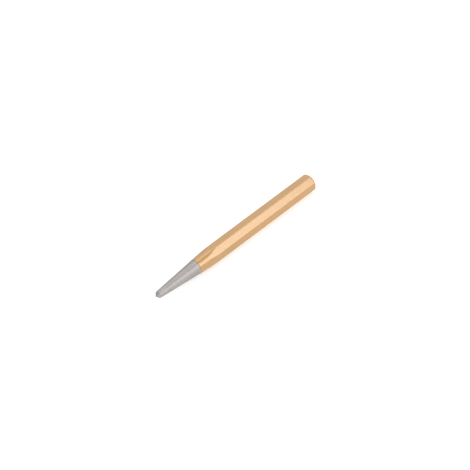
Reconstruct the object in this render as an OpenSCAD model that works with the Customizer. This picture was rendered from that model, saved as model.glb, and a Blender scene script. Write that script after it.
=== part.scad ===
// Center punch: one forging of octagonal tool steel with a long ground taper and a conical point,
// lacquered from part-way up the taper to the struck face.
// The punch lies on one flat of its shank. X runs along it, with the point at -X and the head at +X.
// The origin is under the middle of its length, on the surface that it lies on.

/* [Bar] */
// Overall length from the tip to the struck face, with the lacquer
overall_length = 120; // [110:1:150]
// Width of the steel bar across its flats
across_flats = 10; // [9.5:0.5:12]
// How far the rolled corners of the octagon fall short of sharp ones
corner_relief = 0.06; // [0.05:0.01:0.2]

/* [Nose] */
// Diameter at the small end of the taper, where the point begins
point_diameter = 4.2; // [3:0.2:5]
// Included angle of the conical point, in degrees
point_angle = 90; // [60:5:120]
// Diameter of the tiny flat that blunts the tip
tip_diameter = 0.3; // [0.1:0.1:0.6]
// Length of the straight taper, from the point to where it meets the middle of each flat
taper_length = 37; // [30:1:45]

/* [Head] */
// Diameter of the steel's flat struck face
face_diameter = 9; // [7.5:0.1:9.4]
// Length of the chamfer round the struck face
chamfer_length = 1; // [0.5:0.1:2]

/* [Lacquer] */
// Thickness of the lacquer coat
lacquer_thickness = 0.1; // [0.05:0.01:0.2]
// Length of bare ground steel, from the tip to the edge of the lacquer
bare_length = 30; // [20:1:36]

/* [Hidden] */
steel_color = [0.72, 0.70, 0.69];
lacquer_color = [0.90, 0.70, 0.45];
circle_sides = 96;
octagon_sides = 8;

steel_length = overall_length - lacquer_thickness;
flat_r = across_flats / 2;
corner_r = flat_r / cos(180 / octagon_sides) - corner_relief;
point_r = point_diameter / 2;
tip_r = tip_diameter / 2;
face_r = face_diameter / 2;
point_length = (point_r - tip_r) / tan(point_angle / 2);
taper_slope = (flat_r - point_r) / taper_length;
taper_end = point_length + (corner_r - point_r) / taper_slope;
chamfer_slope = (corner_r - face_r) / chamfer_length;

// The nose and head as turned on a lathe, as radius against distance from the tip.
// grow moves the taper, the corners and the chamfer outwards, and the struck face along the axis.
function turned_outline(grow) = [
    [0, 0],
    [tip_r, 0],
    [point_r + grow, point_length],
    [corner_r + grow, taper_end],
    [corner_r + grow, steel_length - chamfer_length],
    [face_r + grow - grow * chamfer_slope, steel_length + grow],
    [0, steel_length + grow]
];

// The octagonal bar cut to the turned outline, standing on its tip.
// Where the cone cuts the flats it leaves the eight scallops at the shoulder.
module blank(grow) {
    intersection() {
        rotate_extrude($fn = circle_sides)
            polygon(turned_outline(grow));
        rotate([0, 0, 180 / octagon_sides])
            cylinder(r = (flat_r + grow) / cos(180 / octagon_sides), h = overall_length, $fn = octagon_sides);
    }
}

// Everything from the edge of the lacquer to the head.
module coated_length() {
    translate([-across_flats, -across_flats, bare_length])
        cube([2 * across_flats, 2 * across_flats, overall_length]);
}

// Lays what stands on its tip down along X, resting on the lacquer of one flat.
module lay_down() {
    translate([-overall_length / 2, 0, flat_r + lacquer_thickness])
        rotate([0, 90, 0])
            children();
}

module forged_punch() {
    color(steel_color)
        lay_down()
            blank(0);
}

// A closed shell of even thickness over the steel, open only at the bare nose.
module lacquer_coat() {
    color(lacquer_color)
        lay_down()
            difference() {
                intersection() {
                    blank(lacquer_thickness);
                    coated_length();
                }
                blank(0);
            }
}

forged_punch();
lacquer_coat();
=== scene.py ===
"""An octagonal center punch: forged steel with a ground nose, coated with bronze-gold lacquer."""

import math

import bpy
import numpy as np
from mathutils import Matrix, Vector, noise


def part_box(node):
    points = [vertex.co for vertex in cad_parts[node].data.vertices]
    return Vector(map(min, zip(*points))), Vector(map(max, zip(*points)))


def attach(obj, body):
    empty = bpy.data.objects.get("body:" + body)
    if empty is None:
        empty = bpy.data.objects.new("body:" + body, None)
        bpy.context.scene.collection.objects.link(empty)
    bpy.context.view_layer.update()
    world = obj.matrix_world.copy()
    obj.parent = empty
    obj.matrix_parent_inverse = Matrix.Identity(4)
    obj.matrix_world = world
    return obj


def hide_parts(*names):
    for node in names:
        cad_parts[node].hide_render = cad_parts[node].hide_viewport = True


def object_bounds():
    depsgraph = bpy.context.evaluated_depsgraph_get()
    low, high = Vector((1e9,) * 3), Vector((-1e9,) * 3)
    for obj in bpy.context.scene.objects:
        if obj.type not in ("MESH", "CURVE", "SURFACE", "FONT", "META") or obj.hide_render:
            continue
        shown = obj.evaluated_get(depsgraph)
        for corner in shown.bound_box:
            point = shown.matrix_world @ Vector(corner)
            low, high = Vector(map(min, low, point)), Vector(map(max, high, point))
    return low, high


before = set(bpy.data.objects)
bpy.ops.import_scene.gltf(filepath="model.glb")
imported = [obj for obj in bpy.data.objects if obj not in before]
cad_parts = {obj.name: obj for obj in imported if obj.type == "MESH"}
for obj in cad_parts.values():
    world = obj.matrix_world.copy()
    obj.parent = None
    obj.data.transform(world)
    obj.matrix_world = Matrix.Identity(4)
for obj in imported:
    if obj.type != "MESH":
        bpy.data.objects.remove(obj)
cad_low, cad_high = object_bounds()

# Sizes. Lengths are in millimetres, angles in degrees. These come from the frame.
MM = 0.001
steel_low, steel_high = (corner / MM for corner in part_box("forged_punch"))
coat_low, coat_high = (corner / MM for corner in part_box("lacquer_coat"))

LENGTH = steel_high.x - steel_low.x
FLAT_R = (steel_high.z - steel_low.z) / 2
AXIS_Z = (steel_high.z + steel_low.z) / 2
TIP_X = steel_low.x
COAT = coat_high.z - steel_high.z
BARE = coat_low.x - steel_low.x

# These are the CAD part's own sizes, which the frame doesn't hold.
SIDES = 8
POINT_R = 2.1
TIP_R = 0.15
POINT_ANGLE = 90
TAPER = 37.0
TAPER_SLOPE = (FLAT_R - POINT_R) / TAPER
FACE_R = 4.5
CHAMFER = 1.0

# These are details that only the visual model has.
CORNER_ROUND = 0.7
# How softly the cone and the chamfer run into the flats.
RIDGE_SOFTNESS = 0.16
# Half the depth of the deepest hollows left by rolling and forging.
HOLLOWS = 0.015
# How far the lacquer's edge wanders, and the share by which its rim is thicker.
EDGE_WANDER = 0.16
EDGE_RIM = 0.35

HALF_SIDE = math.pi / SIDES
# The angle from the middle of a flat to where its rolled corner begins.
FLAT_END = math.atan((FLAT_R - CORNER_ROUND) * math.tan(HALF_SIDE) / FLAT_R)


# ---------------------------------------------------------------- shape

def octagon_radius(angle):
    """The bar's radius at an angle round its axis, with its corners rolled to CORNER_ROUND."""
    from_flat = abs((angle + HALF_SIDE) % (2 * HALF_SIDE) - HALF_SIDE)
    if from_flat <= FLAT_END:
        return FLAT_R / math.cos(from_flat)
    to_corner = HALF_SIDE - from_flat
    centre = (FLAT_R - CORNER_ROUND) / math.cos(HALF_SIDE)
    return centre * math.cos(to_corner) + math.sqrt(CORNER_ROUND**2 - (centre * math.sin(to_corner)) ** 2)


CORNER_R = octagon_radius(HALF_SIDE)


def soft_min(a, b, softness):
    """The smaller of two radii, with the ridge between them rounded off."""
    near = max(softness - abs(a - b), 0) / softness
    return min(a, b) - near * near * softness / 4


def rounded(corner, before, after, radius, steps):
    """An arc of points in place of a corner between two straight runs."""
    corner, before, after = (np.array(p, float) for p in (corner, before, after))
    into = (corner - before) / np.linalg.norm(corner - before)
    out = (after - corner) / np.linalg.norm(after - corner)
    turn = math.acos(float(np.clip(into @ out, -1, 1)))
    reach = radius * math.tan(turn / 2)
    start, end = corner - into * reach, corner + out * reach
    middle = corner + (out - into) / np.linalg.norm(out - into) * radius / math.cos(turn / 2)
    arc = []
    for k in range(steps + 1):
        share = k / steps
        chord = start * (1 - share) + end * share - middle
        arc.append(middle + chord / np.linalg.norm(chord) * radius)
    return arc


def turned_profile():
    """The turned outline as corners, each with its rounding: (distance from the tip, radius, rounding)."""
    point_length = (POINT_R - TIP_R) / math.tan(math.radians(POINT_ANGLE / 2))
    full = CORNER_R + RIDGE_SOFTNESS
    return [
        (0, 0, 0),
        (0, TIP_R, 0.06),
        (point_length, POINT_R, 0.12),
        (point_length + (full - POINT_R) / TAPER_SLOPE, full, 1.0),
        (LENGTH - CHAMFER - (full - CORNER_R), full, 0.2),
        (LENGTH, FACE_R, 0.15),
        (LENGTH, 0, 0),
    ]


def stations(longest):
    """Points along the turned outline, none further apart than longest."""
    corners = turned_profile()
    bent = [np.array(corners[0][:2], float)]
    for before, corner, after in zip(corners, corners[1:], corners[2:]):
        bent += rounded(corner[:2], before[:2], after[:2], corner[2], 5)
    bent.append(np.array(corners[-1][:2], float))
    points = [bent[0]]
    for a, b in zip(bent, bent[1:]):
        pieces = max(1, math.ceil(np.linalg.norm(b - a) / longest))
        points += [a + (b - a) * k / pieces for k in range(1, pieces + 1)]
    return np.array(points)


def angles_round():
    """Angles round the axis, closer together over the octagon's rolled corners."""
    across_flat = np.linspace(-FLAT_END, FLAT_END, 13)[:-1]
    over_corner = np.linspace(FLAT_END, 2 * HALF_SIDE - FLAT_END, 7)[:-1]
    one_side = np.concatenate([across_flat, over_corner])
    return np.concatenate([one_side + 2 * HALF_SIDE * k for k in range(SIDES)])


def bar_unevenness(x, angle):
    """The slight hollows that rolling and forging leave, in millimetres."""
    place = Vector((x * 0.09, 1.3 * math.cos(angle), 1.3 * math.sin(angle)))
    return -HOLLOWS * (1 + noise.noise(place))


def steel_grid(outline, angles):
    """The steel's surface as rings by angles by XYZ, in millimetres from the tip and the axis."""
    grid = np.zeros((len(outline), len(angles), 3))
    for j, angle in enumerate(angles):
        bar = octagon_radius(angle)
        for i, (x, turned) in enumerate(outline):
            r = soft_min(turned, bar, RIDGE_SOFTNESS)
            if turned > POINT_R + 0.5 and x < LENGTH - CHAMFER:
                r += bar_unevenness(x, angle)
            grid[i, j] = (x, r * math.cos(angle), r * math.sin(angle))
    return grid


def grid_normals(grid):
    """The outward normal at every point of a grid of rings."""
    along = np.gradient(grid, axis=0)
    around = np.roll(grid, -1, axis=1) - np.roll(grid, 1, axis=1)
    normals = np.cross(around, along)
    lengths = np.linalg.norm(normals, axis=2, keepdims=True)
    outward = np.zeros_like(grid)
    outward[..., 0] = np.where(grid[..., 0] > LENGTH / 2, 1, -1)
    return np.where(lengths > 1e-9, normals / np.maximum(lengths, 1e-9), outward)


def closed_skin(name, grid, marks):
    """A mesh over a grid whose first and last rings are single points. marks holds values per point."""
    rings, around = grid.shape[:2]
    inner = grid[1:-1].reshape(-1, 3)
    points = np.concatenate([grid[:1, 0], inner, grid[-1:, 0]])
    points = (points + (TIP_X, 0, AXIS_Z)) * MM
    last = len(points) - 1

    def index(ring, j):
        return 1 + (ring - 1) * around + j % around

    faces = [(0, index(1, j + 1), index(1, j)) for j in range(around)]
    for i in range(1, rings - 2):
        for j in range(around):
            faces.append((index(i, j), index(i, j + 1), index(i + 1, j + 1), index(i + 1, j)))
    faces += [(last, index(rings - 2, j), index(rings - 2, j + 1)) for j in range(around)]

    mesh = bpy.data.meshes.new(name)
    mesh.from_pydata(points.tolist(), [], faces)
    mesh.polygons.foreach_set("use_smooth", [True] * len(mesh.polygons))
    for mark, values in marks.items():
        attribute = mesh.attributes.new(mark, "FLOAT", "POINT")
        flat = np.concatenate([values[:1, 0], values[1:-1].ravel(), values[-1:, 0]])
        attribute.data.foreach_set("value", flat.astype(np.float32))
    mesh.update()
    mesh.validate()
    piece = bpy.data.objects.new(name, mesh)
    bpy.context.scene.collection.objects.link(piece)
    return piece


def corner_marks(grid, angles):
    """1 on the octagon's rolled corners and 0 on its flats, on every ring."""
    to_corner = HALF_SIDE - np.abs((angles + HALF_SIDE) % (2 * HALF_SIDE) - HALF_SIDE)
    mark = np.clip(1 - to_corner / math.radians(5.5), 0, 1)
    return np.tile(mark, (len(grid), 1))


def make_steel():
    return closed_skin("steel_body", steel_grid(stations(0.5), angles_round()), {})


def coat_stations():
    """Points along the turned outline under the lacquer, closely spaced near its edge."""
    outline = stations(0.5)
    rest = outline[outline[:, 0] > BARE + 1.5]
    near = np.concatenate([np.linspace(0, 0.3, 7), np.linspace(0.38, 1.4, 11)]) + BARE
    nose = outline[: len(outline) // 2]
    radii = np.interp(near, nose[:, 0], nose[:, 1])
    return np.concatenate([np.stack([near, radii], axis=1), rest])


def coat_thickness(past_edge):
    """The lacquer's thickness at a distance past its edge: a rounded rim, then even."""
    rise = 1 - np.exp(-past_edge / 0.07)
    rim = 1 + EDGE_RIM * np.exp(-(((past_edge - 0.35) / 0.3) ** 2))
    return COAT * rise * rim


def edge_wander(angle):
    """How far the lacquer's edge is from a true circle at an angle."""
    slow = noise.noise(Vector((2.1 * math.cos(angle), 2.1 * math.sin(angle), 3.7)))
    quick = noise.noise(Vector((7.0 * math.cos(angle), 7.0 * math.sin(angle), 9.1)))
    return EDGE_WANDER * (slow + 0.5 * quick)


def make_coat():
    """The lacquer as a closed shell: its inside lies on the steel, and its outside stands off it."""
    outline = coat_stations()
    angles = angles_round()
    past_edge = outline[:, 0] - BARE
    inner = np.zeros((len(outline), len(angles), 3))
    for j, angle in enumerate(angles):
        moved = outline.copy()
        shift = edge_wander(angle) * np.exp(-past_edge / 1.2)
        moved += np.stack([shift, shift * TAPER_SLOPE], axis=1)
        inner[:, j : j + 1] = steel_grid(moved, [angle])
    outer = inner + grid_normals(inner) * coat_thickness(past_edge)[:, None, None]
    grid = np.concatenate([inner[::-1], outer[1:]])
    both_sides = np.concatenate([past_edge[::-1], past_edge[1:]])[:, None]
    on_head = grid[..., 0] > LENGTH - CHAMFER + 0.05
    from_axis = np.hypot(grid[..., 1], grid[..., 2])
    marks = {
        "corner": corner_marks(grid, angles),
        "past_edge": np.tile(both_sides, (1, len(angles))),
        "turned": np.where(on_head, CORNER_R + COAT - from_axis, 0),
    }
    return closed_skin("lacquer_skin", grid, marks)


# ---------------------------------------------------------------- materials

class Pattern:
    """A material's nodes. Numbers, colours and other nodes' outputs all go in as inputs."""

    def __init__(self, name):
        self.material = bpy.data.materials.new(name)
        self.material.use_nodes = True
        self.tree = self.material.node_tree
        self.shader = self.tree.nodes["Principled BSDF"]

    def add(self, kind, inputs=None, **settings):
        made = self.tree.nodes.new("ShaderNode" + kind)
        for setting, value in settings.items():
            setattr(made, setting, value)
        for socket, value in (inputs or {}).items():
            self.put(made.inputs[socket], value)
        return made

    def put(self, socket, value):
        if isinstance(value, bpy.types.NodeSocket):
            self.tree.links.new(value, socket)
        else:
            socket.default_value = value

    def millimetres(self, stretch=(1, 1, 1)):
        """The piece's own coordinates in millimetres, each axis times stretch."""
        own = self.add("TexCoord").outputs["Object"]
        scale = tuple(s / MM for s in stretch)
        return self.add("VectorMath", {0: own, 1: scale}, operation="MULTIPLY").outputs[0]

    def noise(self, stretch, detail=2.0, roughness=0.5):
        """Noise with stretch waves per millimetre along each axis."""
        inputs = {"Vector": self.millimetres(stretch), "Scale": 1.0}
        inputs.update({"Detail": detail, "Roughness": roughness})
        return self.add("TexNoise", inputs).outputs["Fac"]

    def rings(self, mark, per_mm):
        """Uneven rings that follow a mark on the mesh."""
        place = self.times(self.mark(mark), per_mm)
        inputs = {"W": place, "Scale": 1.0, "Detail": 2.0}
        return self.add("TexNoise", inputs, noise_dimensions="1D").outputs["Fac"]

    def mark(self, name):
        """A value that the mesh holds at each point."""
        return self.add("Attribute", attribute_name=name).outputs["Fac"]

    def spread(self, value, low, high, to_low=0.0, to_high=1.0):
        """Maps value from low..high to to_low..to_high, held at both ends."""
        inputs = {"Value": value, "From Min": low, "From Max": high, "To Min": to_low, "To Max": to_high}
        return self.add("MapRange", inputs).outputs["Result"]

    def sum(self, a, b, share=1.0):
        """a, with a share of b added."""
        return self.add("Math", {0: b, 1: share, 2: a}, operation="MULTIPLY_ADD").outputs[0]

    def times(self, a, b):
        return self.add("Math", {0: a, 1: b}, operation="MULTIPLY").outputs[0]

    def blend(self, share, a, b):
        """Colour a, turning to colour b as share goes from 0 to 1."""
        mix = self.add("Mix", data_type="RGBA")
        self.put(mix.inputs["Factor"], share)
        self.put(mix.inputs[6], a)
        self.put(mix.inputs[7], b)
        return mix.outputs[2]

    def bump(self, height, depth, under=None):
        """Raises the surface by height times depth millimetres."""
        inputs = {"Height": height, "Distance": depth * MM, "Strength": 1.0}
        if under is not None:
            inputs["Normal"] = under
        return self.add("Bump", inputs).outputs["Normal"]


def ground_steel():
    """Bare tool steel, ground in rings round the taper."""
    p = Pattern("ground_steel")
    rings = p.noise((3.6, 0.10, 0.10), detail=4.0, roughness=0.62)
    broad_rings = p.noise((0.9, 0.05, 0.05), detail=2.0)
    scratches = p.noise((10.0, 0.8, 0.8), detail=1.0)
    cloud = p.noise((0.16, 0.3, 0.3), detail=2.0)

    tone = p.sum(p.sum(rings, broad_rings, 0.5), cloud, 0.4)
    colour = p.blend(p.spread(tone, 0.65, 1.25), (0.31, 0.290, 0.282, 1), (0.440, 0.415, 0.405, 1))
    p.put(p.shader.inputs["Base Color"], colour)
    p.put(p.shader.inputs["Metallic"], 1.0)
    p.put(p.shader.inputs["Roughness"], p.spread(p.sum(rings, cloud, 0.5), 0.45, 1.05, 0.46, 0.58))
    relief = p.bump(rings, 0.014)
    p.put(p.shader.inputs["Normal"], p.bump(scratches, 0.003, relief))
    return p.material


def gold_lacquer():
    """Metallic lacquer over a rolled bar, with fine flake and a thinner film on the corners."""
    p = Pattern("gold_lacquer")
    cloud = p.noise((0.06, 0.12, 0.12), detail=2.0)
    drawn = p.noise((0.12, 2.2, 2.2), detail=3.0)
    flake = p.noise((6.0, 6.0, 6.0), detail=2.0, roughness=0.7)
    peel = p.noise((0.8, 1.1, 1.1), detail=2.0)
    turned = p.rings("turned", 3.0)

    tone = p.sum(p.sum(p.sum(flake, cloud, 0.4), drawn, 0.15), turned, 0.5)
    colour = p.blend(p.spread(tone, 0.80, 1.25), (0.410, 0.223, 0.068, 1), (0.541, 0.296, 0.092, 1))
    worn = p.times(p.mark("corner"), p.spread(drawn, 0.45, 0.65))
    colour = p.blend(p.times(worn, 0.35), colour, (0.36, 0.25, 0.15, 1))
    rim = p.spread(p.mark("past_edge"), 0.15, 0.6, 0.4, 0.0)
    colour = p.blend(rim, colour, (0.30, 0.15, 0.04, 1))
    p.put(p.shader.inputs["Base Color"], colour)
    p.put(p.shader.inputs["Metallic"], 0.75)
    p.put(p.shader.inputs["Roughness"], p.spread(p.sum(flake, cloud, 0.5), 0.55, 0.95, 0.46, 0.56))
    p.put(p.shader.inputs["Coat Weight"], 1.0)
    p.put(p.shader.inputs["Coat IOR"], 1.65)
    p.put(p.shader.inputs["Coat Roughness"], 0.14)
    relief = p.bump(peel, 0.005)
    relief = p.bump(drawn, 0.002, relief)
    relief = p.bump(turned, 0.012, relief)
    p.put(p.shader.inputs["Normal"], p.bump(flake, 0.0008, relief))
    return p.material


def pale_floor():
    """A pale floor that glows a little, so that it stays white under the punch."""
    p = Pattern("pale_floor")
    p.put(p.shader.inputs["Base Color"], (0.80, 0.80, 0.80, 1))
    p.put(p.shader.inputs["Roughness"], 0.9)
    p.put(p.shader.inputs["Specular IOR Level"], 0.1)
    p.put(p.shader.inputs["Emission Color"], (1, 1, 1, 1))
    p.put(p.shader.inputs["Emission Strength"], 0.45)
    return p.material


# ---------------------------------------------------------------- pieces

def finish_piece(piece, material, node):
    """Gives a piece its material, sets it on its body, and hides the CAD node that it stands for."""
    piece.data.materials.append(material)
    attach(piece, "root")
    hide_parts(node)


finish_piece(make_steel(), ground_steel(), "forged_punch")
finish_piece(make_coat(), gold_lacquer(), "lacquer_coat")


# ---------------------------------------------------------------- stage

MIDDLE = (cad_low + cad_high) / 2
# How far the punch points out of the picture plane, and how it slopes across the picture.
TILT = math.radians(30.4)
SLOPE = math.radians(36.7)
CAMERA_DISTANCE = 1.5
CAMERA_LENS = 213
# How far the camera's aim is from the punch's middle, across and up the picture.
AIM = (0.0004, 0.0017)

SOFTBOX_DISTANCE = 2.0
FLOOR_WIDTH = 12.0

ALONG = Vector((1, 0, 0))
FACING_FLAT = Vector((0, -1, 1)).normalized()


def add_camera():
    """A camera square to one flat of the octagon, with the point towards it."""
    back = FACING_FLAT * math.cos(TILT) - ALONG * math.sin(TILT)
    shown = ALONG * math.cos(TILT) + FACING_FLAT * math.sin(TILT)
    side = back.cross(shown)
    right = shown * math.cos(SLOPE) - side * math.sin(SLOPE)
    up = shown * math.sin(SLOPE) + side * math.cos(SLOPE)
    data = bpy.data.cameras.new("camera")
    data.lens = CAMERA_LENS
    data.sensor_width = 36
    camera = bpy.data.objects.new("camera", data)
    turn = Matrix((right, up, back)).transposed().to_4x4()
    place = MIDDLE + back * CAMERA_DISTANCE + right * AIM[0] + up * AIM[1]
    camera.matrix_world = Matrix.Translation(place) @ turn
    bpy.context.scene.collection.objects.link(camera)
    bpy.context.scene.camera = camera


def add_floor():
    half = FLOOR_WIDTH / 2
    corners = [(-half, -half, 0), (half, -half, 0), (half, half, 0), (-half, half, 0)]
    mesh = bpy.data.meshes.new("floor")
    mesh.from_pydata(corners, [], [(0, 1, 2, 3)])
    mesh.materials.append(pale_floor())
    floor = bpy.data.objects.new("floor", mesh)
    bpy.context.scene.collection.objects.link(floor)


def add_softbox(name, direction, size, power):
    """A softbox in a direction from the punch and facing it. size is its width and height in metres."""
    data = bpy.data.lights.new(name, "AREA")
    data.shape = "RECTANGLE"
    data.size, data.size_y = size
    data.energy = power
    light = bpy.data.objects.new(name, data)
    direction = Vector(direction).normalized()
    turn = direction.to_track_quat("Z", "Y").to_matrix().to_4x4()
    light.matrix_world = Matrix.Translation(MIDDLE + direction * SOFTBOX_DISTANCE) @ turn
    bpy.context.scene.collection.objects.link(light)


def add_daylight(strength):
    """Even white light from all round."""
    world = bpy.data.worlds.new("studio")
    world.use_nodes = True
    sky = world.node_tree.nodes["Background"]
    sky.inputs["Color"].default_value = (1, 1, 1, 1)
    sky.inputs["Strength"].default_value = strength
    bpy.context.scene.world = world


add_camera()
add_floor()
# The key shines off the front flat, the overhead off the top of the taper, the back off the upper
# flat and the fill off the point. Each has its direction, its width and height, and its power.
add_softbox("key", (0.45, -0.76, 0.46), (0.80, 1.40), 13.6)
add_softbox("overhead", (0.37, 0.14, 0.92), (0.9, 1.6), 7.2)
add_softbox("back", (0.45, 0.62, 0.64), (1.3, 1.3), 2.9)
add_softbox("fill", (-0.86, -0.36, 0.36), (0.9, 0.9), 4.0)
add_daylight(0.75)
bpy.context.scene.view_settings.view_transform = "Standard"
